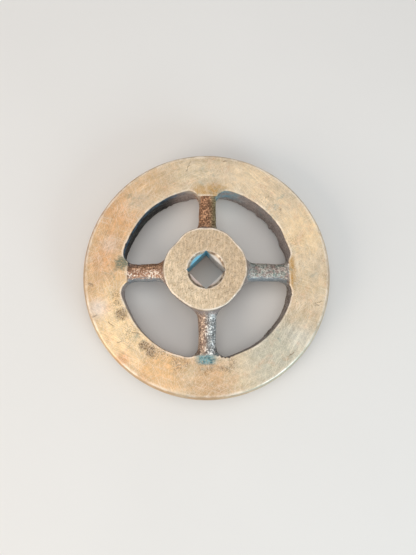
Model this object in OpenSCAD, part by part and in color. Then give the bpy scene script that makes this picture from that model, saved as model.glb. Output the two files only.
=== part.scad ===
// Small cast bronze handwheel for a valve stem with a square end.
// One casting, drawn as a rim, a hub and four spokes that meet face to face.
// The wheel lies on the back of its rim: z = 0 is the rim's back, +Z points out of the ground front face.

/* [Rim] */
// Outside diameter of the rim, at the crown of its convex side
wheel_d = 75; // [70:0.5:85]
// Thickness of the rim between its back and its ground face
rim_h = 8.8; // [8.4:0.1:10]
// Diameter of the opening inside the rim
opening_d = 51.6; // [48:0.2:54]
// Height that the outer side bulges past the edge of the ground face
side_bulge = 1.4; // [0.8:0.1:2]
// Radius of the rounded edge between the opening's wall and the rim's back
back_round = 0.5; // [0.3:0.1:1.2]
// Bevel left on the inner edge of the ground face
face_bevel = 0.25; // [0.1:0.05:0.5]

/* [Hub] */
// Diameter of the hub
hub_d = 24; // [22:0.2:26]
// Thickness of the hub
hub_h = 8.3; // [8.3:0.1:9.6]
// Height of the hub's ground face above the rim's ground face
hub_rise = 4.1; // [3.8:0.1:4.3]
// Bevel on the hub's front and back edges
hub_bevel = 0.3; // [0.1:0.05:0.3]

/* [Square socket] */
// Side of the square socket that fits over the valve stem
square_side = 8; // [6:0.1:9]
// Diameter of the countersink at the front mouth of the socket
sink_d = 10.9; // [10.2:0.1:11.2]
// Angle between the countersink's wall and the hub's face
sink_angle = 28; // [20:1:45]

/* [Spokes] */
// Width of a spoke, seen from the front
spoke_w = 5; // [4:0.1:5.2]
// Depth of a spoke, measured square to its length
spoke_depth = 5.4; // [5.3:0.1:5.6]
// Height of a spoke's centre line where it meets the rim
spoke_z_rim = 5.1; // [4.6:0.1:5.3]
// Distance from the hub's ground face down to a spoke's centre line where it meets the hub
spoke_below_face = 5.1; // [4.4:0.1:5.1]
// Radius of the round flare where a spoke runs into the rim or the hub
flare_r = 2.8; // [2.6:0.05:2.85]
// Length of that flare along the spoke
flare_len = 2.6; // [1.5:0.1:3.5]

/* [Hidden] */

$fn = 180;

// Colours of the ground faces and of the rough casting
ground_bronze = "#d8bd97";
rough_bronze = "#a08468";

rim_r = wheel_d / 2;
opening_r = opening_d / 2;
hub_r = hub_d / 2;
hub_face_z = rim_h + hub_rise;
hub_back_z = hub_face_z - hub_h;
spoke_z_hub = hub_face_z - spoke_below_face;

// The convex side is one arc through both face edges and the crown
side_arc_r = (pow(rim_h / 2, 2) + pow(side_bulge, 2)) / (2 * side_bulge);

// Depth at which the countersink's cone closes to a point
sink_depth = sink_d / 2 * tan(sink_angle);
sink_margin = 0.5;

// A spoke's centre line runs from (hub_r, spoke_z_hub) down to (opening_r, spoke_z_rim)
spoke_run = opening_r - hub_r;
spoke_drop = spoke_z_hub - spoke_z_rim;
spoke_slope = atan2(spoke_drop, spoke_run);
spoke_len = norm([spoke_run, spoke_drop]);
// The bar is drawn longer than the gap and trimmed by the rim's and the hub's cylinders
spoke_extra = 3;

// The rim's cross-section on one side of the axis, to be turned about the Z axis
module rim_section() {
    difference() {
        intersection() {
            translate([opening_r, 0]) square([rim_r - opening_r, rim_h]);
            translate([rim_r - side_arc_r, rim_h / 2]) circle(r = side_arc_r);
        }
        back_corner_cut();
        translate([opening_r, rim_h]) rotate(45) square(face_bevel * sqrt(2), center = true);
    }
}

// What is taken off the inner back corner of the section, to leave a rounded edge
module back_corner_cut() {
    difference() {
        translate([opening_r - 1, -1]) square(back_round + 1);
        translate([opening_r + back_round, back_round]) circle(r = back_round);
    }
}

module rim() {
    color(ground_bronze) rotate_extrude() rim_section();
}

// Hub outline with bevelled edges, to be turned about the Z axis
module hub_section() {
    polygon([
        [0, 0],
        [hub_r - hub_bevel, 0],
        [hub_r, hub_bevel],
        [hub_r, hub_h - hub_bevel],
        [hub_r - hub_bevel, hub_h],
        [0, hub_h]
    ]);
}

// Cone that opens the socket's front mouth, widest at z = 0 and drawn a little past it
module countersink() {
    margin_r = sink_margin / tan(sink_angle);
    translate([0, 0, -sink_depth])
        cylinder(r1 = 0, r2 = sink_d / 2 + margin_r, h = sink_depth + sink_margin);
}

module hub() {
    color(ground_bronze)
        translate([0, 0, hub_back_z])
        difference() {
            rotate_extrude() hub_section();
            translate([0, 0, hub_h / 2])
                rotate(45)
                cube([square_side, square_side, hub_h + 2], center = true);
            translate([0, 0, hub_h]) countersink();
        }
}

// Cross-section of a spoke: a bar with a round top and a round bottom
module spoke_section() {
    round_r = spoke_w / 2;
    flat = spoke_depth - spoke_w;
    square([flat, spoke_w], center = true);
    for (side = [-1, 1]) translate([side * flat / 2, 0]) circle(r = round_r);
}

// A straight bar along +X from the hub's end of the centre line, sloping down to the rim
module sloping_bar() {
    translate([hub_r, 0, spoke_z_hub])
        rotate([0, 90 + spoke_slope, 0]) {
            translate([0, 0, -spoke_extra])
                linear_extrude(spoke_len + 2 * spoke_extra) spoke_section();
            flare();
            translate([0, 0, spoke_len]) mirror([0, 0, 1]) flare();
        }
}

// Round cone at one end of the bar, continued straight into the rim or the hub
module flare() {
    cylinder(r1 = flare_r, r2 = spoke_w / 2, h = flare_len);
    translate([0, 0, -spoke_extra]) cylinder(r = flare_r, h = spoke_extra);
}

// A spoke pointing at the given angle, trimmed where the rim and the hub begin
module spoke(angle) {
    color(rough_bronze)
        rotate(angle)
        intersection() {
            difference() {
                sloping_bar();
                cylinder(r = hub_r, h = hub_face_z + 1);
            }
            cylinder(r = opening_r, h = hub_face_z);
        }
}

module spoke_east() spoke(0);
module spoke_north() spoke(90);
module spoke_west() spoke(180);
module spoke_south() spoke(270);

rim();
hub();
spoke_east();
spoke_north();
spoke_west();
spoke_south();
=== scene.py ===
"""A small cast bronze valve handwheel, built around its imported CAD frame.

Lengths are in millimetres in the frame's own axes, and turn into metres where a mesh or a light is made.
The wheel lies on the back of its rim, +Z points out of the ground face, and +Y is the top of the picture.
"""

import math

import bmesh
import bpy
import numpy as np
from mathutils import Matrix, Vector, noise


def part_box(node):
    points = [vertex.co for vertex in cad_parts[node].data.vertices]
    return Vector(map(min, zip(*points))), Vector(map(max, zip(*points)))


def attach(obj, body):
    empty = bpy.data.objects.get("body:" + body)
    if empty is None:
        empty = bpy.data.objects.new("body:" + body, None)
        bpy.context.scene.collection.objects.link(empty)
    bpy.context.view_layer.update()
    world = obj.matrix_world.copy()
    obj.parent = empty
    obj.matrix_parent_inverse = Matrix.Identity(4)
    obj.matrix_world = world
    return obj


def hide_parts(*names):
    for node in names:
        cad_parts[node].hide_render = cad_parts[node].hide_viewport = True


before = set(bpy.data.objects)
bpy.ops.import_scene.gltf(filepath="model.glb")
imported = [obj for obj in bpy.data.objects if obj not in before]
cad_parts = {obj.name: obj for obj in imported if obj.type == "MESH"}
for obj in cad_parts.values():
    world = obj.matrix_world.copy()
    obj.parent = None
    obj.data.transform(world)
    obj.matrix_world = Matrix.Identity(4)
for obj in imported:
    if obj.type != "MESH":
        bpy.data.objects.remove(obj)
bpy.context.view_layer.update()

MM = 0.001


# ---------------------------------------------------------------- sizes

def node_box(name):
    """Lowest and highest corner of a CAD node, in millimetres."""
    low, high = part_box(name)
    return np.array(low) / MM, np.array(high) / MM


RIM_HIGH = node_box("rim")[1]
HUB_LOW, HUB_HIGH = node_box("hub")

RIM_R = RIM_HIGH[0]
RIM_TOP = RIM_HIGH[2]
OPENING_R = node_box("spoke_east")[1][0]
HUB_R = HUB_HIGH[0]
HUB_BACK = HUB_LOW[2]
HUB_TOP = HUB_HIGH[2]

# The rim's section: a convex side, a rounded back and a crisp, slightly worn face
SIDE_BULGE = 1.4
BACK_ROUND = 0.5
BACK_OUTER_ROUND = 0.8
FACE_EDGE_ROUND = 0.28
OUTER_EDGE_ROUND = 0.45
# The core leaned a little towards the lower left, so the wall there slopes outward on its way to the back:
# how far in mm, and the middle and width in degrees of the stretch where it does
CORE_LEAN = 0.7
CORE_LEAN_ANGLE = 222
CORE_LEAN_WIDTH = 75

# The square socket and the countersink at its front mouth
SQUARE_SIDE = 8.0
SINK_R = 5.45
SINK_SLOPE = math.tan(math.radians(28))
HUB_EDGE_ROUND = 0.32
HUB_BACK_ROUND = 0.3
# The hub's outline and its socket are a little off the wheel's middle, as in the casting
HUB_SHIFT = (-0.5, 0.4)
SOCKET_SHIFT = (-0.3, 0.0)
# What the flats take off is partly made up by a slightly larger circle
HUB_SWELL = 0.05
# Flats filed on the hub's outline between the spokes: direction, width in degrees, depth in mm
HUB_FLATS = [(44, 13, 0.45), (92, 5, 0.25), (139, 14, 0.72), (230, 19, 0.5), (320, 20, 0.5), (345, 8, 0.15),
             (3, 8, 0.1)]

# A spoke's bar: half its width, half its depth and the height of its middle, at the hub and at the rim
SPOKE_HALF_W = (2.65, 2.4)
SPOKE_HALF_DEPTH = (2.7, 2.7)
SPOKE_Z = (7.8, 5.1)
# Exponent of the bar's outline: 2 is an ellipse, and more is squarer
SPOKE_SQUARENESS = 2.6

# How far the fillets reach at a spoke's two ends
RIM_FILLET = 5.0
HUB_FILLET = 3.0
# How far a fillet may run inward from the rim and outward from the hub along a spoke
RIM_FILLET_LIMIT = 3.2
HUB_FILLET_LIMIT = 2.6

# Height in mm of the cast skin's grains on the four kinds of surface
WALL_SKIN = 0.10
BACK_SKIN = 0.09
HUB_SKIN = 0.11
SPOKE_SKIN = 0.19

# Each spoke: its direction, how far the rim's face runs in over its root, how much the root stands above
# the plain bar, and a sideways bow
SPOKES = {
    "spoke_east": {"angle": 0, "pad": 1.45, "root_lift": 0.05, "bow": 0.10},
    "spoke_north": {"angle": 90, "pad": 2.45, "root_lift": 0.20, "bow": -0.12},
    "spoke_west": {"angle": 180, "pad": 2.3, "root_lift": 0.20, "bow": 0.08},
    "spoke_south": {"angle": 270, "pad": 1.5, "root_lift": -0.05, "bow": 0.10},
}


# ---------------------------------------------------------------- the casting's form

# A gap in mm that counts as nowhere near
FAR = 99.0


def smooth_step(low, high, value):
    t = np.clip((value - low) / (high - low), 0, 1)
    return t * t * (3 - 2 * t)


def blend_min(a, b, reach):
    """The smaller of two gaps, with a fillet where they are closer to each other than reach."""
    near = np.clip(reach - np.abs(a - b), 0, None) / reach
    return np.minimum(a, b) - near * near * reach / 4


def bump_at(angle, centre, width):
    """A smooth hump in degrees round the wheel, 1 at its centre."""
    away = (angle - centre + 180) % 360 - 180
    return np.exp(-((away / width) ** 2))


def bumps(angle, table):
    """Several humps added up, from a table of direction and width in degrees, and height."""
    return sum(height * bump_at(angle, centre, width) for centre, width, height in table)


def hub_outline(angle):
    """Distance from the axis to the hub's side: a circle a little off the middle, with hand-filed flats."""
    circle = HUB_R + HUB_SWELL + HUB_SHIFT[0] * np.cos(angle) + HUB_SHIFT[1] * np.sin(angle)
    return circle - bumps(np.degrees(angle) % 360, HUB_FLATS)


def spoke_axes(x, y, angle):
    """Distance along a spoke's direction, and across it."""
    turn = math.radians(angle)
    return x * math.cos(turn) + y * math.sin(turn), y * math.cos(turn) - x * math.sin(turn)


def along_spoke(ends, share):
    """A value that changes evenly from the hub, where share is 0, to the rim, where it is 1."""
    return ends[0] + (ends[1] - ends[0]) * share


def spoke_line(spoke, share):
    """The height of a spoke's middle and its sideways bow, at a share of its length."""
    height = along_spoke(SPOKE_Z, share) + spoke["root_lift"] * smooth_step(0.55, 0.95, share)
    return height, spoke["bow"] * np.sin(np.clip(share, 0, 1) * math.pi)


def spoke_gap(x, y, z, spoke):
    """How far a point is outside one spoke's bar, less than zero inside it."""
    along, across = spoke_axes(x, y, spoke["angle"])
    share = (along - HUB_R) / (OPENING_R - HUB_R)
    half_w = along_spoke(SPOKE_HALF_W, share)
    middle, bow = spoke_line(spoke, share)
    sideways = np.abs((across - bow) / half_w)
    upward = np.abs((z - middle) / along_spoke(SPOKE_HALF_DEPTH, share))
    size = sideways ** SPOKE_SQUARENESS + upward ** SPOKE_SQUARENESS
    gap = (size ** (1 / SPOKE_SQUARENESS) - 1) * half_w
    return np.where(along > 0, gap, FAR)


def nearest_spoke_gap(x, y, z):
    return np.minimum.reduce([spoke_gap(x, y, z, spoke) for spoke in SPOKES.values()])


def ring_gap(inward, z, low, high):
    """Gap to a body that fills heights low to high and starts where inward is zero."""
    beyond = np.maximum(low - z, z - high)
    outside = np.hypot(np.maximum(inward, 0), np.maximum(beyond, 0))
    return np.where((inward > 0) | (beyond > 0), outside, np.maximum(inward, beyond))


def casting_gap(x, y, z):
    """Gap to the casting between hub and rim, with fillets, and how deep in a corner each point is."""
    r = np.hypot(x, y)
    rim = ring_gap(OPENING_R - r, z, 0, RIM_TOP)
    hub = ring_gap(r - hub_outline(np.arctan2(y, x)), z, HUB_BACK, HUB_TOP)
    bar = nearest_spoke_gap(x, y, z)
    gap = blend_min(blend_min(bar, rim, RIM_FILLET), hub, HUB_FILLET)
    corner = np.maximum(1 - np.abs(bar - rim) / RIM_FILLET, 1 - np.abs(bar - hub) / HUB_FILLET)
    return gap, np.clip(corner, 0, 1)


def first_outside(gap_at, start, stop, steps):
    """For every entry, the first distance where gap_at turns positive, or stop where it never does."""
    distances = np.linspace(start, stop, steps)
    before = gap_at(distances[0])
    found = np.full(before.shape, stop, float)
    done = np.zeros(before.shape, bool)
    for d0, d1 in zip(distances[:-1], distances[1:]):
        after = gap_at(d1)
        crossing = ~done & (after > 0) & (before <= 0)
        share = before / np.where(before == after, 1, before - after)
        found = np.where(crossing, d0 + (d1 - d0) * np.clip(share, 0, 1), found)
        done |= after > 0
        before = after
    return found


# ---------------------------------------------------------------- surface texture

def grain(points, size, octaves, shift):
    """Smooth noise, about -1 to 1, with features of that size, at points given in millimetres."""
    moved = points.reshape(-1, 3) / size + shift
    values = [noise.fractal(Vector(p), 0.9, 2.1, octaves) for p in moved]
    return np.array(values).reshape(points.shape[:-1])


def cast_grain(points, strength):
    """Height of a sand-cast skin: wormy grains on a soft swell, with a few deeper pits."""
    worms = 1 - 2 * np.abs(grain(points, 0.6, 2, 3.7))
    swell = grain(points, 1.7, 2, 11.2)
    pits = np.clip(grain(points, 0.8, 1, 23.9) - 0.35, 0, 1)
    return strength * (0.6 * worms + 0.55 * swell - 1.2 * pits)


def surface_masks(points, ground, edge):
    """Named values for the material: what is ground, which edges are worn and painted bright as a
    highlight, fillets and the cast skin's height.
    """
    corner = casting_gap(points[..., 0], points[..., 1], points[..., 2])[1]
    return {"ground": ground, "edge": edge, "corner": corner, "relief": cast_grain(points, 1.0)}


# ---------------------------------------------------------------- meshes

# Faces that meet at more than this are shaded with a crisp edge
SHARP_ANGLE = math.radians(50)


def closed_grid(name, points, masks):
    """A ring-shaped solid from a grid of points that closes both ways, with masks for its vertices."""
    rows, cols = points.shape[:2]
    index = np.arange(rows * cols).reshape(rows, cols)
    below = np.roll(index, -1, 0)
    corners = np.stack([index, np.roll(index, -1, 1), np.roll(below, -1, 1), below], -1)
    return mesh_object(name, points.reshape(-1, 3), corners.reshape(-1, 4).tolist(), masks)


def mesh_object(name, points, faces, masks):
    mesh = bpy.data.meshes.new(name)
    mesh.from_pydata((points * MM).tolist(), [], faces)
    mesh.update()
    for mask, values in masks.items():
        layer = mesh.attributes.new(mask, "FLOAT", "POINT")
        layer.data.foreach_set("value", np.ascontiguousarray(values, np.float32).ravel())
    shell = bmesh.new()
    shell.from_mesh(mesh)
    if shell.calc_volume(signed=True) < 0:
        bmesh.ops.reverse_faces(shell, faces=shell.faces[:])
        shell.to_mesh(mesh)
    shell.free()
    mesh.shade_smooth()
    mesh.set_sharp_from_angle(angle=SHARP_ANGLE)
    piece = bpy.data.objects.new(name, mesh)
    bpy.context.scene.collection.objects.link(piece)
    return piece


def place(r, z, angle):
    """Points from distances to the axis and heights, for a row of angles in radians."""
    return np.stack([r * np.cos(angle), r * np.sin(angle), z + 0 * r], -1)


def arc(centre_r, centre_z, radius, start, end, count, ends=True):
    """Points and outward directions along an arc of a section, from start to end in degrees."""
    angles = np.radians(np.linspace(start, end, count if ends else count + 2))
    angles = angles if ends else angles[1:-1]
    return [(centre_r + radius * math.cos(a), centre_z + radius * math.sin(a), a) for a in angles]


def near_ends(t, steepness):
    """1 where t is 0 or 1, and falling to 0 away from both."""
    return max(0, 1 - steepness * min(t, 1 - t))


# ---------------------------------------------------------------- rim

RIM_COLUMNS = 1000
# Small nicks on the rim's outer and inner face edges: direction in degrees, width in mm, depth in mm
OUTER_NICKS = [(20, 0.5, 0.28), (334, 0.45, 0.25), (196, 0.4, 0.15), (262, 0.5, 0.14), (74, 0.4, 0.12)]
INNER_NICKS = [(277.3, 0.3, 0.32), (279.6, 0.3, 0.42), (281.9, 0.25, 0.3), (284.4, 0.35, 0.34),
               (287, 0.3, 0.18), (262.5, 0.4, 0.16), (161, 0.4, 0.15), (345, 0.35, 0.15), (98, 0.35, 0.12)]
# Where the opening's wall carries ragged flash near the back: direction, width in degrees, height in mm
FLASH = [(23, 4, 0.25), (37, 5, 0.35), (49, 4, 0.28), (62, 5, 0.38), (318, 6, 0.22), (118, 5, 0.18),
         (104, 4, 0.2)]
# Makes up for the raggedness, which takes away part of that height
FLASH_GAIN = 1.25
# Where the core's outline stands inward of a circle: direction, width in degrees, depth in mm
CORE_WANDER = [(22, 6, 0.35), (152, 11, 0.28), (108, 6, 0.12), (209, 5, 0.12), (252, 7, 0.3),
               (293, 10, 0.36), (334, 8, -0.12), (70, 8, -0.12), (195, 5, -0.2), (122, 5, 0.1)]


def nick_depth(angle, nicks, radius):
    """Depth cut by a list of nicks, in millimetres, at angles in degrees."""
    return bumps(angle, [(centre, math.degrees(width / radius), depth) for centre, width, depth in nicks])


def window_wall(angle, z):
    """Distance from the axis to the opening's wall, with the pads where the rim runs onto the spokes."""
    level = np.minimum(z, SPOKE_Z[1]) + 0 * angle
    degrees = np.degrees(angle) % 360
    # Every direction belongs to the pad of the nearest spoke
    away = [np.abs((degrees - spoke["angle"] + 180) % 360 - 180) for spoke in SPOKES.values()]
    pad = np.array([spoke["pad"] for spoke in SPOKES.values()])[np.argmin(away, 0)]

    def gap_at(inward):
        r = OPENING_R - inward
        bar = nearest_spoke_gap(r * np.cos(angle), r * np.sin(angle), level)
        return blend_min(bar, inward + 0 * bar, RIM_FILLET)

    inward = first_outside(gap_at, 0.0, RIM_FILLET_LIMIT, 60)
    # A pad ends straight across its spoke, so it is measured along the spoke and not from the circle
    across = OPENING_R * np.sin(np.radians(np.min(away, 0)))
    straight = pad - (OPENING_R - np.sqrt(OPENING_R ** 2 - across ** 2))
    inward = blend_min(inward, np.maximum(straight, 0) + 0.01, 0.3)
    lean = CORE_LEAN * (1 - z / RIM_TOP) * bump_at(degrees, CORE_LEAN_ANGLE, CORE_LEAN_WIDTH)
    # The core's wander and lean fade out where a pad begins
    free = smooth_step(1.4, 0.3, inward)
    return OPENING_R - inward + (lean - bumps(degrees, CORE_WANDER)) * free


def rim_section():
    """The rim's fixed outline from the face's outer edge round to its back, as r, z, outward direction."""
    half_h = RIM_TOP / 2
    side_r = (half_h ** 2 + SIDE_BULGE ** 2) / (2 * SIDE_BULGE)
    side_centre = RIM_R - side_r

    def corner(round_r, z):
        r = side_centre + math.sqrt((side_r - round_r) ** 2 - (z - half_h) ** 2)
        return r, z, math.degrees(math.atan2(z - half_h, r - side_centre))

    top_r, top_z, top_turn = corner(OUTER_EDGE_ROUND, RIM_TOP - OUTER_EDGE_ROUND)
    low_r, low_z, low_turn = corner(BACK_OUTER_ROUND, BACK_OUTER_ROUND)
    outer_edge = arc(top_r, top_z, OUTER_EDGE_ROUND, 90, top_turn, 6)
    side = arc(side_centre, half_h, side_r, top_turn, low_turn, 18, ends=False)
    low_edge = arc(low_r, low_z, BACK_OUTER_ROUND, low_turn, -90, 6)
    return outer_edge, side, low_edge


def make_rim():
    angle = np.linspace(0, 2 * math.pi, RIM_COLUMNS, endpoint=False)
    degrees = np.degrees(angle)
    rows, ground, edge = [], [], []

    def add(points, is_ground, is_edge=0.0):
        rows.append(points)
        ground.append(is_ground + 0 * angle)
        edge.append(is_edge + 0 * angle)

    # The opening's wall, rough as cast, from the back's rounding up to the face
    wall_z = np.linspace(BACK_ROUND, RIM_TOP - FACE_EDGE_ROUND, 30)
    wall_grid = np.stack([window_wall(angle, z) for z in wall_z])
    flat = np.stack([place(r, z, angle) for r, z in zip(wall_grid, wall_z)])
    depth = (RIM_TOP - wall_z[:, None]) / RIM_TOP
    rough = cast_grain(flat, WALL_SKIN) * (0.45 + 0.75 * depth)
    ragged = np.clip(0.5 + 1.3 * grain(flat, 1.0, 2, 41.0), 0, 1.4)
    flash = FLASH_GAIN * bumps(degrees, FLASH) * ragged
    wall_grid = wall_grid - rough - flash * smooth_step(0.45, 0.85, depth)
    # Nicks in the face's inner edge run a little way down the wall
    nicks = nick_depth(degrees, INNER_NICKS, OPENING_R)
    wall_grid = wall_grid + nicks * smooth_step(0.35, 0.05, depth)
    for r, z in zip(wall_grid, wall_z):
        add(place(r, z, angle), 0.0)

    # The worn inner edge of the face, then the flat ground face
    edge_r = wall_grid[-1] + FACE_EDGE_ROUND
    for out, z, _ in arc(0, RIM_TOP - FACE_EDGE_ROUND, FACE_EDGE_ROUND, 160, 90, 5):
        add(place(edge_r + out, z, angle), 1.0, 1.0)
    outer_edge, side, low_edge = rim_section()
    face_outer = outer_edge[0][0]
    for t in (0.02, 0.05, *np.linspace(0.12, 0.88, 7), 0.95, 0.98):
        add(place(edge_r + (face_outer - edge_r) * t, RIM_TOP, angle), 1.0, near_ends(t, 25))

    # The worn outer edge, the convex side and the rounded back edge
    outer_nicks = nick_depth(degrees, OUTER_NICKS, RIM_R)
    for i, (r, z, turn) in enumerate(outer_edge):
        cut = outer_nicks * math.sin(math.pi * (i + 0.5) / len(outer_edge))
        add(place(r - cut * math.cos(turn), z - cut * math.sin(turn), angle), 1.0, 1.0)
    for r, z, turn in side + low_edge:
        spot = place(r + 0 * angle, z, angle)
        dent = 0.02 * grain(spot, 1.6, 2, 5.0) - 0.02 - 0.05 * smooth_step(4.5, 0.5, z)
        lifted = z - dent * abs(math.sin(turn)) * (z < 1)
        add(place(r + dent * math.cos(turn), lifted, angle), smooth_step(2.0, 5.5, z))

    # The back, as cast, with its skin kept above the plane that it rests on
    low_r = low_edge[-1][0]
    inner_r = wall_grid[0] + BACK_ROUND
    for t in np.linspace(0.04, 0.96, 12):
        spot = place(low_r + (inner_r - low_r) * t, 0.0, angle)
        rise = 0.05 + 0.5 * cast_grain(spot, BACK_SKIN)
        spot[:, 2] += np.clip(rise, 0, None) * smooth_step(0, 0.1, t)
        add(spot, 0.0)
    for inward, z, _ in arc(0, BACK_ROUND, BACK_ROUND, -90, -180, 6)[:-1]:
        add(place(inner_r + inward, z + 0.03 * (1 + inward / BACK_ROUND), angle), 0.0)

    points = np.stack(rows)
    return closed_grid("rim_casting", points, surface_masks(points, np.stack(ground), np.stack(edge)))


# ---------------------------------------------------------------- hub

HUB_COLUMNS = 640


def square_wall(angle):
    """Distance from the axis to the square socket's wall. Its corners point along the spokes."""
    turned = angle + math.pi / 4
    return SQUARE_SIDE / 2 / np.maximum(np.abs(np.cos(turned)), np.abs(np.sin(turned)))


def hub_wall(angle, z):
    """Distance from the axis to the hub's side, with the fillets of the spokes' inner ends."""
    outline = hub_outline(angle)

    def gap_at(outward):
        r = outline + outward
        bar = nearest_spoke_gap(r * np.cos(angle), r * np.sin(angle), z + 0 * angle)
        return blend_min(bar, outward + 0 * bar, HUB_FILLET)

    return outline + first_outside(gap_at, 0.0, HUB_FILLET_LIMIT, 50)


def make_hub():
    angle = np.linspace(0, 2 * math.pi, HUB_COLUMNS, endpoint=False)
    rows, ground, edge = [], [], []

    def add(r, z, is_ground, is_edge=0.0, moved=0.0):
        """A row round the hub, which follows the socket's middle where moved is 1, and the wheel's at 0."""
        shift = moved * np.array([*SOCKET_SHIFT, 0.0])
        rows.append(place(r, z, angle) + shift)
        ground.append(is_ground + 0 * angle)
        edge.append(is_edge + 0 * angle)

    # The socket's wall, and the countersink that opens its front mouth
    wall = square_wall(angle)
    sink_out = np.maximum(SINK_R, wall + 0.12)
    sunk = np.clip(SINK_R - wall, 0, None) * SINK_SLOPE
    low, high = HUB_BACK + 0.05, HUB_TOP - 0.03 - sunk
    for t in (0, 0.02, *np.linspace(0.08, 0.92, 14), 0.98, 1):
        z = low + (high - low) * t
        spot = place(wall, z, angle)
        add(wall + 0.03 * grain(spot, 0.9, 2, 31.0), z, 0.35, 0.3 * (t == 1), 1.0)
    for t in (0.04, 0.3, 0.6, 0.94):
        r = wall + (sink_out - wall) * t
        add(r, np.minimum(HUB_TOP - 0.01, high + (r - wall) * SINK_SLOPE), 0.9, 0.6 * (t > 0.9), 1.0)

    # The ground front face and its worn edge
    side_z = np.linspace(HUB_TOP - HUB_EDGE_ROUND, HUB_BACK + HUB_BACK_ROUND, 44)
    side = np.stack([hub_wall(angle, z) for z in side_z])
    flat = np.stack([place(r, z, angle) for r, z in zip(side, side_z)])
    below = (HUB_TOP - side_z[:, None]) / (HUB_TOP - HUB_BACK)
    side = side + cast_grain(flat, HUB_SKIN) * smooth_step(0, 0.2, below) + 0.05 * grain(flat, 2.2, 2, 9.0)
    edge_r = side[0] - HUB_EDGE_ROUND
    for t in (0, 0.03, *np.linspace(0.1, 0.9, 11), 0.95, 0.985):
        add(sink_out + (edge_r - sink_out) * t, HUB_TOP, 1.0, near_ends(t, 24), 1 - t)
    for out, z, _ in arc(0, HUB_TOP - HUB_EDGE_ROUND, HUB_EDGE_ROUND, 90, 15, 5):
        add(edge_r + out, z, 1.0, 1.0)

    # The rough side, the back's round edge and the flat back
    for r, z in zip(side, side_z):
        add(r, z, smooth_step(HUB_TOP - 1.2, HUB_TOP - 0.2, z))
    back_r = side[-1] - HUB_BACK_ROUND
    for out, z, _ in arc(0, HUB_BACK + HUB_BACK_ROUND, HUB_BACK_ROUND, -15, -90, 5):
        add(back_r + out, z, 0.2)
    # The socket's back mouth is a hair wider than its wall
    mouth = wall + 0.08
    for t in np.linspace(0.05, 1, 16):
        add(back_r + (mouth - back_r) * t, HUB_BACK, 0.7, 0.6 * (t == 1), t)

    points = np.stack(rows)
    return closed_grid("hub_casting", points, surface_masks(points, np.stack(ground), np.stack(edge)))


# ---------------------------------------------------------------- spokes

SPOKE_STATIONS = 190
SPOKE_SIDES = 160
# How far a spoke runs on inside the hub and the rim
SPOKE_BURIED = 1.1
# How far its fillets may stand out from the bar before the hub's or the rim's own surface takes over
SPOKE_FLARE = 1.75
# How far a spoke's root stays below the rim's ground face
ROOT_SINK = 0.04


def make_spoke(name, spoke):
    turn = math.radians(spoke["angle"])
    t = np.linspace(0, 1, SPOKE_STATIONS)
    # Stations crowd towards both ends, where the fillets curve
    t = t - 0.4 * np.sin(2 * math.pi * t) / (2 * math.pi)
    along = HUB_R - SPOKE_BURIED + (OPENING_R - HUB_R + 2 * SPOKE_BURIED) * t
    along = along[:, None]
    share = (along - HUB_R) / (OPENING_R - HUB_R)
    middle, bow = spoke_line(spoke, share)
    around = np.linspace(0, 2 * math.pi, SPOKE_SIDES, endpoint=False)[None, :]

    def point_at(out):
        across = bow + out * np.cos(around)
        z = middle + out * np.sin(around)
        x = along * math.cos(turn) - across * math.sin(turn)
        y = along * math.sin(turn) + across * math.cos(turn)
        return x, y, z + 0 * x

    limit = max(*SPOKE_HALF_W, *SPOKE_HALF_DEPTH) + SPOKE_FLARE
    out = first_outside(lambda d: casting_gap(*point_at(d))[0], 0.0, limit, 110)
    skin = np.stack(point_at(out), -1)
    out = out + cast_grain(skin, SPOKE_SKIN) - 0.03
    points = np.stack(point_at(out), -1)
    # Nothing of the root stands above the rim's ground face
    near_rim = smooth_step(0.72, 0.8, share)
    capped = np.minimum(points[..., 2], RIM_TOP - ROOT_SINK + 4 * (1 - near_rim))
    points[..., 2] = np.where(near_rim > 0, capped, points[..., 2])
    bare = np.zeros(points.shape[:2])
    return closed_tube(name + "_casting", points, surface_masks(points, bare, bare))


def closed_tube(name, points, masks):
    """A tube from rings of points, closed at each end by a fan round the ring's middle."""
    rings, sides = points.shape[:2]
    index = np.arange(rings * sides).reshape(rings, sides)
    beside = np.roll(index, -1, 1)
    quads = np.stack([index[:-1], beside[:-1], beside[1:], index[1:]], -1).reshape(-1, 4).tolist()
    first, last = rings * sides, rings * sides + 1
    fans = [[int(b), int(a), first] for a, b in zip(index[0], beside[0])]
    fans += [[int(a), int(b), last] for a, b in zip(index[-1], beside[-1])]
    ends = np.stack([points[0].mean(0), points[-1].mean(0)])
    vertices = np.concatenate([points.reshape(-1, 3), ends])
    padded = {}
    for mask, values in masks.items():
        padded[mask] = np.append(values.ravel(), [values[0].mean(), values[-1].mean()])
    return mesh_object(name, vertices, quads + fans, padded)


# ---------------------------------------------------------------- materials

# Broad tints on the rim's face, partly the metal's own tone and partly painted reflections of the warm
# light on the left and the cool light on the lower right: x, y and radius in mm, colour and strength
FACE_TINTS = [
    (-24, -17, 17, "#f2d6a8", 0.9), (-13, -29, 11, "#e2b57e", 0.75), (1, -32, 12, "#c89f72", 0.75),
    (20, -24, 17, "#bcbaa8", 0.8), (29, 13, 14, "#ecd0a4", 0.75), (16, 29, 12, "#e6cda8", 0.7),
    (-26, 17, 12, "#d2a070", 0.65), (-24.5, -25.5, 4, "#d8925a", 0.6), (-31, 4, 7, "#d39a6c", 0.5),
    (-21, 21, 6, "#cfbfa8", 0.5), (-32, -11, 4.5, "#e4d8d2", 0.6), (-29, 8, 4, "#d9c8ba", 0.4),
    (27, -19, 6, "#d6d3c6", 0.5), (9, -31, 5, "#d8c3a2", 0.5), (-5, 30, 8, "#d3c3a4", 0.5),
    (31, -3, 6, "#d5bd97", 0.5),
]
# Fine wear all over the faces: direction in degrees, length and width in mm, and an offset for the texture
WEAR_LAYERS = [(22, 7, 0.24, 3), (58, 6, 0.3, 17), (112, 7, 0.26, 31), (150, 9, 0.3, 47)]
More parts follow.
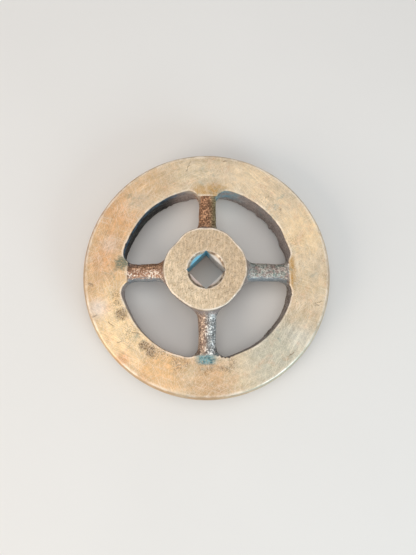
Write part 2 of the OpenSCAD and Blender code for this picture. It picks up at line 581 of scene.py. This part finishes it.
# Where the rim's face is worn mostly one way: x, y and radius in mm, and direction in degrees
WEAR_REGIONS = [(18, 25, 18, 45), (25, -22, 17, 118), (-24, -20, 17, 30), (-4, 31, 14, 155),
                (-28, 14, 15, 110)]
# Bright scratches: direction in degrees, length and width in mm, rarity, and an offset for the texture
SCRATCHES = [(18, 7, 0.10, 0.62, 3), (64, 6, 0.09, 0.63, 17), (128, 9, 0.10, 0.61, 31),
             (151, 8, 0.09, 0.62, 47), (88, 4, 0.13, 0.62, 59)]
# Dark grime on the face, dense in the blots and thin in the smears: x, y and radius in mm, raggedness and
# strength
BLOTS = [(-24.9, -12.4, 2.7, 0.5, 1), (-16.2, -23.0, 2.5, 0.5, 1), (-18.2, -21.6, 2.2, 0.5, 1)]
SMEARS = [(-26.4, -8.0, 4.0, 0.5, 1), (-13.5, -24.2, 3.4, 0.6, 1), (-7.8, -26.4, 4.0, 0.6, 1),
          (5.4, -26.6, 4.0, 0.6, 1), (-0.3, -27.2, 3.2, 0.5, 1), (22.5, -15.6, 6.0, 0.6, 0.5),
          (-22.0, -18.0, 4.6, 0.6, 0.7), (25.6, 9.5, 3.5, 0.6, 0.4)]
# Spots of verdigris besides the one at the south root, in the same form
VERDIGRIS = [(-25.3, 2.6, 2.8, 0.4, 0.75), (12.4, 1.0, 2.6, 0.5, 0.7), (4.8, 23.6, 3.0, 0.4, 0.35)]
# Single dark marks on the rim's face: x, y, length and width in mm, and direction in degrees
FACE_MARKS = [(-5.8, 32.7, 4.6, 0.22, 70), (5.4, 34.6, 1.6, 0.5, 20), (22.4, 19.2, 1.0, 0.4, 60),
              (32.9, -9.0, 3.6, 0.2, 12), (32.4, -9.8, 2.8, 0.18, 4), (24.3, -24.1, 2.8, 0.3, 32),
              (-34.2, -3.9, 2.2, 0.6, 150), (-32.8, -13.2, 2.4, 0.45, 30), (-25.1, -20.5, 2.2, 0.25, 15),
              (-20.6, -18.0, 3.2, 0.3, 165), (-27.9, -15.4, 3.0, 0.22, 150)]


def colour(code):
    """Linear colour from a hex code as seen on a screen."""
    values = [int(code[i:i + 2], 16) / 255 for i in (1, 3, 5)]
    linear = [v / 12.92 if v <= 0.04045 else ((v + 0.055) / 1.055) ** 2.4 for v in values]
    return (*linear, 1.0)


class Material:
    """Short names for building a material from nodes, with textures placed in the wheel's frame, in mm."""

    def __init__(self, name):
        self.material = bpy.data.materials.new(name)
        self.material.use_nodes = True
        self.tree = self.material.node_tree
        self.surface = self.tree.nodes["Principled BSDF"]
        coordinates = self.tree.nodes.new("ShaderNodeTexCoord")
        self.facing = self.node("ShaderNodeSeparateXYZ", {0: coordinates.outputs["Normal"]}).node.outputs
        scaled = {"Vector": coordinates.outputs["Object"], "Scale": 1 / MM}
        self.place = self.node("ShaderNodeVectorMath", scaled, operation="SCALE")
        self.x, self.y, self.z = self.node("ShaderNodeSeparateXYZ", {0: self.place}).node.outputs
        flat = self.node("ShaderNodeCombineXYZ", {"X": self.x, "Y": self.y})
        self.radius = self.node("ShaderNodeVectorMath", {0: flat}, output=1, operation="LENGTH")

    def node(self, kind, inputs, output=0, **settings):
        made = self.tree.nodes.new(kind)
        for key, value in settings.items():
            setattr(made, key, value)
        for key, value in inputs.items():
            self.feed(made.inputs[key], value)
        return made.outputs[output]

    def feed(self, socket, value):
        if isinstance(value, bpy.types.NodeSocket):
            self.tree.links.new(value, socket)
        else:
            socket.default_value = value

    def math(self, operation, a, b=0.0, clamp=False):
        return self.node("ShaderNodeMath", {0: a, 1: b}, operation=operation, use_clamp=clamp)

    def plus(self, a, b):
        return self.math("ADD", a, b)

    def minus(self, a, b):
        return self.math("SUBTRACT", a, b)

    def scaled(self, value, factor, start):
        """value times a factor, counted from a start."""
        return self.plus(self.both(value, factor), start)

    def noise(self, size, detail, roughness=0.5, at=None):
        """Soft noise, about 0.3 to 0.7, with features of that size."""
        inputs = {"Vector": at or self.place, "Scale": 1 / size, "Detail": detail, "Roughness": roughness}
        return self.node("ShaderNodeTexNoise", inputs)

    def between(self, value, low, high):
        """0 below low, 1 above high, smooth between. low may be the larger one."""
        inputs = {"Value": value, "From Min": low, "From Max": high}
        return self.node("ShaderNodeMapRange", inputs, interpolation_type="SMOOTHSTEP")

    def mix(self, share, a, b, blend="MIX"):
        inputs = {0: share, 6: a, 7: b}
        return self.node("ShaderNodeMix", inputs, output=2, data_type="RGBA", blend_type=blend)

    def mask(self, name):
        return self.node("ShaderNodeAttribute", {}, output="Fac", attribute_name=name)

    def moved(self, shift, turn=0.0):
        """The place shifted in mm and turned in degrees, so that textures differ from each other."""
        inputs = {"Vector": self.place, "Location": shift, "Rotation": (0, 0, math.radians(turn))}
        return self.node("ShaderNodeMapping", inputs)

    def drawn_out(self, direction, length, width, shift, detail, roughness):
        """Noise drawn out in one direction."""
        inputs = {0: self.moved(shift, direction), 1: (1 / length, 1 / width, 1 / length)}
        at = self.node("ShaderNodeVectorMath", inputs, operation="MULTIPLY")
        return self.noise(1.0, detail, roughness, at)

    def scratches(self, direction, length, width, rarity, shift):
        """Fine straight scratches in one direction, 1 on a scratch."""
        streak = self.drawn_out(direction, length, width, (shift, -shift, 0), 1.0, 0.4)
        return self.between(streak, rarity, rarity + 0.07)

    def brushed(self, direction, length, width, shift, low, high):
        """Fine streaks in one direction, 0 to 1."""
        streak = self.drawn_out(direction, length, width, (shift, 2 * shift, 0), 3.0, 0.6)
        return self.between(streak, low, high)

    def away_from(self, x, y, z):
        inputs = {0: self.place, 1: (x, y, z)}
        return self.node("ShaderNodeVectorMath", inputs, output=1, operation="DISTANCE")

    def wander(self, size, reach):
        """Noise from about -0.2 to 0.2 times reach, to make an outline ragged."""
        return self.both(self.minus(self.noise(size, 3.0, 0.6), 0.5), reach)

    def spot(self, x, y, radius, ragged, grain_size=0.9):
        """1 near a place on the wheel's face, 0 beyond the radius, with a ragged outline."""
        away = self.plus(self.away_from(x, y, RIM_TOP), self.wander(grain_size, 2 * ragged * radius))
        return self.between(away, radius, 0.35 * radius)

    def spots(self, table):
        """The largest of several spots, each with a strength as its last value."""
        return self.any(*[self.both(self.spot(*values), strength) for *values, strength in table])

    def dash(self, x, y, length, width, direction):
        """A short thin mark centred on a place on a face, with soft ends and an uneven line."""
        turn = math.radians(direction)
        dx, dy = self.minus(self.x, x), self.minus(self.y, y)
        along = self.plus(self.both(dx, math.cos(turn)), self.both(dy, math.sin(turn)))
        across = self.minus(self.both(dy, math.cos(turn)), self.both(dx, math.sin(turn)))
        uneven = self.both(self.minus(self.noise(0.9, 2), 0.5), 1.2)
        across = self.math("ABSOLUTE", self.plus(across, uneven))
        inside = self.between(self.math("ABSOLUTE", along), length / 2, length / 4)
        return self.both(inside, self.between(across, width, width / 4))

    def region(self, x, y, radius):
        """A broad soft patch centred on a place, 1 in its middle and 0 beyond the radius."""
        away = self.plus(self.away_from(x, y, RIM_TOP), self.wander(7.0, 0.9 * radius))
        return self.between(away, radius, 0.1 * radius)

    def both(self, *values):
        """All the masks multiplied together."""
        product = values[0]
        for value in values[1:]:
            product = self.math("MULTIPLY", product, value)
        return product

    def any(self, *values):
        """The largest of the masks."""
        largest = values[0]
        for value in values[1:]:
            largest = self.math("MAXIMUM", largest, value)
        return largest

    def turned_marks(self, arc_share, width, shift):
        """Soft streaks that run round the wheel, on its flat faces and its sides, 0 to 1, with no seam."""
        flat = self.node("ShaderNodeCombineXYZ", {"X": self.x, "Y": self.y})
        around = self.node("ShaderNodeVectorMath", {0: flat}, operation="NORMALIZE")
        around = self.node("ShaderNodeVectorMath", {0: around, "Scale": 1 / arc_share}, operation="SCALE")
        across = self.math("DIVIDE", self.minus(self.radius, self.z), width)
        ring = self.node("ShaderNodeCombineXYZ", {"Z": self.plus(across, shift)})
        at = self.node("ShaderNodeVectorMath", {0: around, 1: ring}, operation="ADD")
        return self.between(self.noise(1.0, 4.0, 0.6, at), 0.32, 0.68)

    def tone(self, share, base, value, dark, light):
        """base made darker or lighter by a 0 to 1 value, between two grey levels."""
        grey = self.mix(value, (dark, dark, dark, 1), (light, light, light, 1))
        return self.mix(share, base, grey, "MULTIPLY")

    def finish(self, base, metallic, roughness, heights):
        """Connects the surface. heights are pairs of a height value and the bump's size in millimetres."""
        self.feed(self.surface.inputs["Base Color"], base)
        self.feed(self.surface.inputs["Metallic"], metallic)
        self.feed(self.surface.inputs["Roughness"], roughness)
        normal = None
        for height, size in heights:
            inputs = {"Height": height, "Distance": size * MM, "Strength": 1.0}
            if normal:
                inputs["Normal"] = normal
            normal = self.node("ShaderNodeBump", inputs)
        self.feed(self.surface.inputs["Normal"], normal)
        return self.material


def face_colour(m, edge):
    """The ground faces: champagne, with painted reflections that make them warm on the left and grey on the
    lower right, stained and scratched.
    """
    clouds = m.between(m.noise(7, 5, 0.65), 0.36, 0.66)
    face = m.mix(clouds, colour("#c6b090"), colour("#d6c2a4"))
    # Painted reflection of the warm light: the face is warmer towards the left
    warm_reflection = m.between(m.plus(m.x, m.both(m.noise(16, 2), 22)), 12, -20)
    face = m.mix(m.both(warm_reflection, 0.75), face, colour("#d1a878"))
    for x, y, radius, tint, share in FACE_TINTS:
        face = m.mix(m.both(m.region(x, y, radius), share), face, colour(tint))
    blush = m.between(m.noise(3.6, 4, 0.6, m.moved((31, 7, 3))), 0.52, 0.7)
    face = m.mix(m.both(blush, 0.3), face, colour("#cf9c74"))
    mint = m.between(m.noise(4.4, 4, 0.6, m.moved((3, 17, 9))), 0.54, 0.7)
    face = m.mix(m.both(mint, 0.2), face, colour("#c7bf9e"))

    # The hub's face is duller, with an upright grain
    on_hub = m.between(m.radius, 14.6, 13.4)
    # Painted light: the hub's face is lighter towards the lower left, where the warm light falls
    hub_lit_side = m.between(m.plus(m.x, m.y), 4, -12)
    hub_face = m.mix(hub_lit_side, colour("#bfa98d"), colour("#cebb9f"))
    level = m.between(m.facing[2], 0.75, 0.95)
    hub_face = m.tone(m.both(level, 0.8), hub_face, m.brushed(96, 1.5, 0.38, 13, 0.34, 0.66), 0.74, 1.2)
    ochre = m.between(m.noise(1.3, 5, 0.75, m.moved((8, 1, 4))), 0.5, 0.64)
    hub_face = m.mix(m.both(ochre, 0.5), hub_face, colour("#9a7f58"))
    face = m.mix(m.both(on_hub, 0.9), face, hub_face)

    # Fine wear in crossing directions, each strongest in its own patches
    for direction, length, width, shift in WEAR_LAYERS:
        patch = m.between(m.noise(7, 2, 0.5, m.moved((shift, 0, shift))), 0.46, 0.6)
        streaks = m.brushed(direction, length, width, shift, 0.45, 0.72)
        face = m.tone(m.both(patch, level, 0.55), face, streaks, 0.95, 1.2)
    for x, y, radius, direction in WEAR_REGIONS:
        streaks = m.brushed(direction, 9, 0.3, x, 0.42, 0.7)
        face = m.tone(m.both(m.region(x, y, radius), level), face, streaks, 0.92, 1.2)
    off_hub = m.minus(1.0, on_hub)
    face = m.tone(m.both(off_hub, 0.8), face, m.turned_marks(0.3, 1.6, 4), 0.9, 1.12)
    side = m.minus(1.0, level)
    face = m.tone(side, face, m.turned_marks(0.12, 0.3, 23), 0.8, 1.15)
    face = m.tone(0.5, face, m.between(m.noise(2.2, 5, 0.7, m.moved((1, 13, 2))), 0.34, 0.66), 0.84, 1.14)
    face = m.tone(0.5, face, m.between(m.noise(0.6, 4, 0.8), 0.32, 0.68), 0.82, 1.15)
    speck_density = m.between(m.noise(6, 3, 0.6, m.moved((9, 5, 2))), 0.4, 0.65)
    speck_density = m.both(speck_density, m.between(m.radius, 33, 27))
    specks = m.noise(0.42, 2, 0.5, m.moved((5, 9, 1)))
    specks = m.between(m.plus(specks, m.both(on_hub, 0.03)), 0.60, 0.68)
    specks = m.both(specks, m.scaled(m.any(speck_density, m.both(on_hub, 0.6)), 0.7, 0.08))
    face = m.mix(m.both(specks, 0.85), face, colour("#6f5a3c"))

    # Stains beside the spokes' roots, and grime along the opening's lower edge
    beside_east = m.both(m.between(m.radius, 26.9, 25.4), m.between(m.x, 23.9, 24.1),
                         m.between(m.y, 7.5, 4.5), m.between(m.y, -9.5, -7.0))
    north_stain = m.both(m.spot(0.8, 24.4, 7.4, 0.3), m.between(m.y, 28.4, 25.4))
    golden = m.any(north_stain, m.both(beside_east, m.between(m.noise(1.5, 3), 0.3, 0.5)))
    face = m.mix(m.both(golden, 0.85), face, colour("#b3873f"))
    speckle = m.between(m.noise(0.42, 4, 0.8), 0.44, 0.56)
    patch = m.between(m.noise(2.0, 4, 0.7, m.moved((4, 21, 6))), 0.36, 0.56)
    blots = m.both(m.spots(BLOTS), m.scaled(speckle, 0.5, 0.38))
    smears = m.both(m.spots(SMEARS), patch, speckle, 0.62)
    face = m.mix(m.any(blots, smears), face, colour("#4e2c0e"))
    marks = m.any(*[m.dash(*mark) for mark in FACE_MARKS])
    face = m.mix(m.both(marks, level, 0.6), face, colour("#683f1c"))

    # Scratches from use, light where they cut bright metal, and the bright edges, partly worn metal and
    # partly a painted highlight
    lines = m.any(*[m.scratches(*scratch) for scratch in SCRATCHES])
    lines = m.both(lines, level, m.scaled(off_hub, 0.7, 0.3))
    face = m.mix(m.both(lines, 0.42), face, colour("#f8eedc"))
    bright_edge_patches = m.between(m.noise(3.5, 3, 0.6, m.moved((6, 2, 14))), 0.4, 0.62)
    wear_and_highlight = m.plus(m.both(bright_edge_patches, 0.5), m.plus(m.both(on_hub, 0.2), 0.12))
    face = m.mix(m.both(edge, wear_and_highlight), face, colour("#fbf0e0"))
    # A painted cyan highlight on the lower right of the rim's outer edge
    painted_cyan_highlight = m.both(m.between(m.minus(m.x, m.y), 40, 46), m.between(m.radius, 36.1, 36.8),
                       m.between(m.z, RIM_TOP - 1.0, RIM_TOP - 0.4))
    face = m.mix(m.both(painted_cyan_highlight, 0.75), face, colour("#b4e0e6"))
    return face, lines, specks


def cast_colour(m, relief):
    """The rough casting: a different tone on every spoke, partly tarnish and partly painted reflections of
    the warm and cool lights; bright on its peaks, partly worn metal and partly painted glints, and dark in
    its pits.
    """
    fine = m.noise(0.5, 3, 0.65, m.moved((2, 4, 8)))
    tint = m.between(m.noise(1.3, 3, 0.6, m.moved((12, 4, 8))), 0.42, 0.66)
    body, peak = colour("#a3958f"), colour("#c9bdb6")

    # Walls: painted shade makes them nearly black on the upper left; grey-brown on the lower right
    shaded_upper_left = m.both(m.between(m.x, -7, -14), m.between(m.y, -2, 2), m.between(m.radius, 18, 21))
    body = m.mix(shaded_upper_left, body, colour("#1c1e20"))
    peak = m.mix(shaded_upper_left, peak, colour("#463c32"))
    lower_right = m.between(m.minus(m.x, m.y), 14, 30)
    body = m.mix(lower_right, body, colour("#6b5d54"))
    # The rim's outer side and back have kept more of their bronze colour
    on_back = m.both(m.between(m.radius, 25.4, 25.9), m.between(m.z, 0.6, 0.2))
    outer = m.any(m.between(m.radius, 27, 29), on_back)
    body = m.mix(outer, body, m.mix(tint, colour("#a08563"), colour("#8c7a66")))
    peak = m.mix(outer, peak, colour("#cbb08c"))

    # Spokes, named by the direction they point in
    ragged = m.both(m.minus(m.noise(1.5, 3, 0.6, m.moved((6, 3, 1))), 0.5), 5)
    past_hub = m.between(m.plus(m.radius, ragged), 11.6, 13.4)
    inside_rim = m.both(past_hub, m.minus(1.0, outer))
    narrow_x = m.both(inside_rim, m.between(m.plus(m.math("ABSOLUTE", m.x), ragged), 4.4, 3.0))
    narrow_y = m.both(inside_rim, m.between(m.plus(m.math("ABSOLUTE", m.y), ragged), 4.4, 3.0))
    north, south = m.both(narrow_x, m.between(m.y, 8, 10)), m.both(narrow_x, m.between(m.y, -8, -10))
    east, west = m.both(narrow_y, m.between(m.x, 8, 10)), m.both(narrow_y, m.between(m.x, -8, -10))
    olive = m.between(m.x, 0.2, 2.4)
    body = m.mix(north, body, m.mix(m.both(olive, 0.8), colour("#8a6449"), colour("#7a6d4b")))
    peak = m.mix(north, peak, m.mix(olive, colour("#e0ac84"), colour("#c4b68c")))
    # Painted highlight: the west spoke's lower half is lighter, where light falls on its rounded top
    highlight_half = m.between(m.y, 1.2, -0.6)
    body = m.mix(west, body, m.mix(highlight_half, colour("#8c6a50"), colour("#ab8166")))
    peak = m.mix(west, peak, m.mix(highlight_half, colour("#e2b490"), colour("#fff4e4")))
    pink_green = m.mix(tint, colour("#9a877e"), colour("#84938a"))
    body = m.mix(east, body, pink_green)
    peak = m.mix(east, peak, colour("#cdc4b7"))
    # The south spoke: coppery on the left and silver on the right, partly its tarnish and partly painted
    # reflections of the warm and the cool light
    silver_and_cool_reflection = m.between(m.plus(m.x, m.both(m.minus(fine, 0.5), 2.5)), -0.9, 0.9)
    body = m.mix(south, body, m.mix(silver_and_cool_reflection, colour("#937b6b"), colour("#8b8c8a")))
    peak = m.mix(south, peak, m.mix(silver_and_cool_reflection, colour("#eacfb4"), colour("#f2f0ea")))

    # Peaks are lighter: partly worn metal and partly painted glints
    height = m.plus(m.both(relief, 0.7), m.both(m.minus(fine, 0.5), 3.4))
    on_spoke = m.any(north, south, east, west)
    raised = m.both(m.between(height, 0.1, 0.7), m.scaled(on_spoke, 0.5, 0.5))
    rough = m.mix(raised, body, peak)
    pit = m.both(m.between(height, -0.1, -0.8), m.scaled(on_spoke, 0.45, 0.5))
    rough = m.mix(pit, rough, colour("#332923"))
    rough = m.tone(0.9, rough, m.between(m.noise(0.32, 3, 0.6), 0.32, 0.68), 0.72, 1.3)

    # Painted reflection of the cool light: the downward sides of the level spokes, which face it, are
    # painted a smooth blue-grey
    down = m.between(m.facing[1], -0.45, -0.8)
    cool_reflection_strip = m.both(down, m.any(east, west))
    rough = m.mix(m.both(cool_reflection_strip, 0.85), rough, colour("#8e979c"))
    return rough


def patina_and_blue_reflection_masks(m, corner):
    """Verdigris in the corners, strongest at the south spoke's root, and painted reflections of the cool
    blue light on two walls.
    """
    on_root = m.both(m.between(m.y, -27.4, -26.4), m.between(m.y, -23.9, -24.5))
    south_root = m.both(m.spot(-0.2, -25.4, 4.0, 0.25, 0.7), on_root)
    patches = m.any(south_root, m.spots(VERDIGRIS))
    crust = m.between(m.noise(0.55, 4, 0.7, m.moved((7, 1, 5))), 0.30, 0.52)
    crust = m.both(crust, m.between(m.z, 3.0, 5.0))
    in_corner = m.both(m.between(corner, 0.35, 0.95), m.between(m.noise(2.2, 3, 0.6), 0.5, 0.72))
    verdigris = m.any(m.both(patches, crust), m.both(in_corner, 0.4))

    blotches = m.between(m.noise(1.6, 4, 0.65, m.moved((3, 8, 21))), 0.36, 0.6)
    inside = m.both(m.between(m.radius, 28, 27), m.between(m.radius, 18, 21), m.between(m.z, 1.0, 4.0))
    # Painted reflections of the cool blue light: on the upper left wall and beside the north spoke
    left_wall = m.both(inside, m.between(m.x, -4, -12), m.between(m.y, 1, 4), m.between(m.z, 5.2, 7.6))
    north_corner = m.both(inside, m.between(m.y, 21.5, 23.5), m.between(m.x, 2.0, 3.2))
    north_corner = m.both(north_corner, m.between(m.x, 13, 6))
    return verdigris, m.both(left_wall, blotches), m.both(north_corner, blotches)


def socket_colour(m):
    """Inside the square socket, painted light: a painted reflection of blue light makes the upper left wall
    bright blue, and the upper right one is painted pale grey as if lit, pinker towards the lower left.
    """
    inside = m.both(m.between(m.radius, 6.2, 5.9), m.between(m.z, HUB_TOP - 0.2, HUB_TOP - 0.6),
                    m.between(m.z, HUB_BACK + 0.1, HUB_BACK + 0.9))
    blue_reflection_side = m.between(m.minus(m.y, m.x), 3.0, 5.0)
    painted_pale_light = m.mix(m.between(m.plus(m.x, m.y), -1, -4), colour("#c9c6c1"), colour("#e6cfc4"))
    return inside, m.mix(blue_reflection_side, painted_pale_light, m.mix(m.noise(1.2, 3), colour("#3c9cc4"), colour("#79c9d8")))


def bronze():
    """One metal for the whole casting: ground where the ground mask is 1, and as cast where it is 0."""
    m = Material("handwheel_bronze")
    ground, edge, corner, relief = m.mask("ground"), m.mask("edge"), m.mask("corner"), m.mask("relief")
    face, lines, specks = face_colour(m, edge)
    rough = cast_colour(m, relief)
    verdigris, blue, teal = patina_and_blue_reflection_masks(m, corner)
    in_socket, socket = socket_colour(m)

    base = m.mix(ground, rough, face)
    bare = m.minus(1.0, ground)
    # Painted reflection of the cool blue light on the upper left wall
    base = m.mix(m.both(blue, bare, 0.8), base, colour("#2f7399"))
    # A pale crust in the corner between the rim and the left of the north spoke
    pale = m.both(m.spot(-4.6, 22.6, 4.4, 0.4), m.between(m.x, -1.6, -2.6), m.between(m.radius, 28, 27))
    base = m.mix(m.both(pale, bare, 0.7), base, colour("#ddd3c0"))
    # Painted reflection of the cool blue light, teal, beside the north spoke
    base = m.mix(m.both(teal, bare, 0.75), base, colour("#7fb4c4"))
    # The socket's painted light and painted blue reflection
    base = m.mix(m.both(in_socket, 0.9), base, socket)
    green = m.mix(m.between(m.noise(0.7, 4, 0.7), 0.35, 0.65), colour("#3f7078"), colour("#8fb2b2"))
    green = m.mix(m.between(m.x, -18, -22), green, colour("#4d6b5c"))
    base = m.mix(verdigris, base, green)
    # A dark line where the countersink meets the hub's face
    off_axis = m.away_from(*SOCKET_SHIFT, HUB_TOP)
    crease = m.between(off_axis, SINK_R - 0.75, SINK_R - 0.45)
    crease = m.both(crease, m.between(off_axis, SINK_R + 0.02, SINK_R - 0.1))
    crease = m.both(crease, m.between(m.noise(1.6, 3, 0.6, m.moved((1, 2, 3))), 0.38, 0.55))
    base = m.mix(m.both(crease, 0.65), base, colour("#5c4636"))
    metallic = m.plus(0.55, m.both(ground, 0.35))
    dulled = m.both(m.any(verdigris, m.both(blue, 0.5), m.both(in_socket, 0.8)), 0.85)
    metallic = m.both(metallic, m.minus(1.0, dulled))

    face_rough = m.plus(0.36, m.both(m.noise(1.2, 5, 0.75), 0.2))
    cast_rough = m.minus(0.58, m.both(m.between(relief, 0.0, 0.8), 0.22))
    roughness = m.node("ShaderNodeMix", {0: ground, 2: cast_rough, 3: face_rough})
    roughness = m.math("ADD", roughness, m.both(verdigris, 0.35), clamp=True)

    rough_share = m.minus(1.0, m.both(ground, 0.85))
    skin = m.both(m.noise(0.26, 4, 0.7), rough_share)
    return m.finish(base, metallic, roughness, [(skin, 0.11), (specks, -0.03), (lines, -0.012)])


def floor_material():
    m = Material("pale_floor")
    base = m.mix(m.noise(60, 3), colour("#e0deda"), colour("#e6e4e0"))
    m.feed(m.surface.inputs["Specular IOR Level"], 0.05)
    return m.finish(base, 0.0, 0.9, [(m.noise(0.8, 3), 0.02)])


# ---------------------------------------------------------------- stage

FLOOR_HALF = 900
# Keeps the floor from sharing a plane with the wheel's back
FLOOR_DROP = 0.005
CAMERA_LENS = 25.95
CAMERA_TILT = 8.0
CAMERA_TURN = -0.7
CAMERA_DISTANCE = 118.6
# Where the wheel's middle falls in the picture, right of and above its centre, at that distance
CAMERA_OFFSET = (-0.28, 1.70)


def make_floor():
    steps = np.linspace(-FLOOR_HALF, FLOOR_HALF, 25)
    x, y = np.meshgrid(steps, steps)
    points = np.stack([x, y, 0 * x - FLOOR_DROP], -1).reshape(-1, 3)
    index = np.arange(x.size).reshape(x.shape)
    quads = np.stack([index[:-1, :-1], index[:-1, 1:], index[1:, 1:], index[1:, :-1]], -1)
    floor = mesh_object("floor", points, quads.reshape(-1, 4).tolist(), {})
    floor.data.materials.append(floor_material())


def make_camera():
    tilt, turn = math.radians(CAMERA_TILT), math.radians(CAMERA_TURN)
    back = Vector((math.sin(turn) * math.cos(tilt), -math.sin(tilt), math.cos(turn) * math.cos(tilt)))
    right = (-back).cross(Vector((0, 1, 0))).normalized()
    up = right.cross(-back)
    centre = Vector((0, 0, RIM_TOP))
    location = centre + back * CAMERA_DISTANCE - right * CAMERA_OFFSET[0] - up * CAMERA_OFFSET[1]
    data = bpy.data.cameras.new("camera")
    data.lens = CAMERA_LENS
    data.clip_start, data.clip_end = 0.005, 10
    camera = bpy.data.objects.new("camera", data)
    turned = Matrix((right, up, back)).transposed().to_4x4()
    camera.matrix_world = Matrix.Translation(location * MM) @ turned
    bpy.context.scene.collection.objects.link(camera)
    bpy.context.scene.camera = camera


def area_light(name, direction, distance, size, power, tint):
    """A square soft light that faces the wheel from a direction (x, y, z)."""
    data = bpy.data.lights.new(name, "AREA")
    data.size, data.energy, data.color = size * MM, power, tint
    light = bpy.data.objects.new(name, data)
    toward = Vector(direction).normalized()
    light.location = toward * distance * MM
    light.rotation_euler = toward.to_track_quat("Z", "Y").to_euler()
    bpy.context.scene.collection.objects.link(light)


def make_lights():
    area_light("overhead", (0.0, 0.15, 1.0), 620, 560, 1.35, (1.0, 0.97, 0.93))
    area_light("warm_side", (-0.85, -0.55, 0.5), 560, 300, 1.5, (1.0, 0.87, 0.74))
    area_light("cool_side", (0.75, -0.85, 0.35), 560, 220, 1.5, (0.68, 0.88, 1.0))
    world = bpy.data.worlds.new("studio")
    world.use_nodes = True
    sky = world.node_tree.nodes["Background"]
    sky.inputs["Color"].default_value = (0.93, 0.95, 1.0, 1)
    sky.inputs["Strength"].default_value = 0.5
    bpy.context.scene.world = world
    bpy.context.scene.view_settings.view_transform = "Standard"


# ---------------------------------------------------------------- build

def add_to_frame(piece, node, material):
    piece.data.materials.append(material)
    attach(piece, "root")
    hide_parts(node)


make_camera()
make_lights()
make_floor()
metal = bronze()
add_to_frame(make_rim(), "rim", metal)
add_to_frame(make_hub(), "hub", metal)
for spoke_name, spoke_shape in SPOKES.items():
    add_to_frame(make_spoke(spoke_name, spoke_shape), spoke_name, metal)
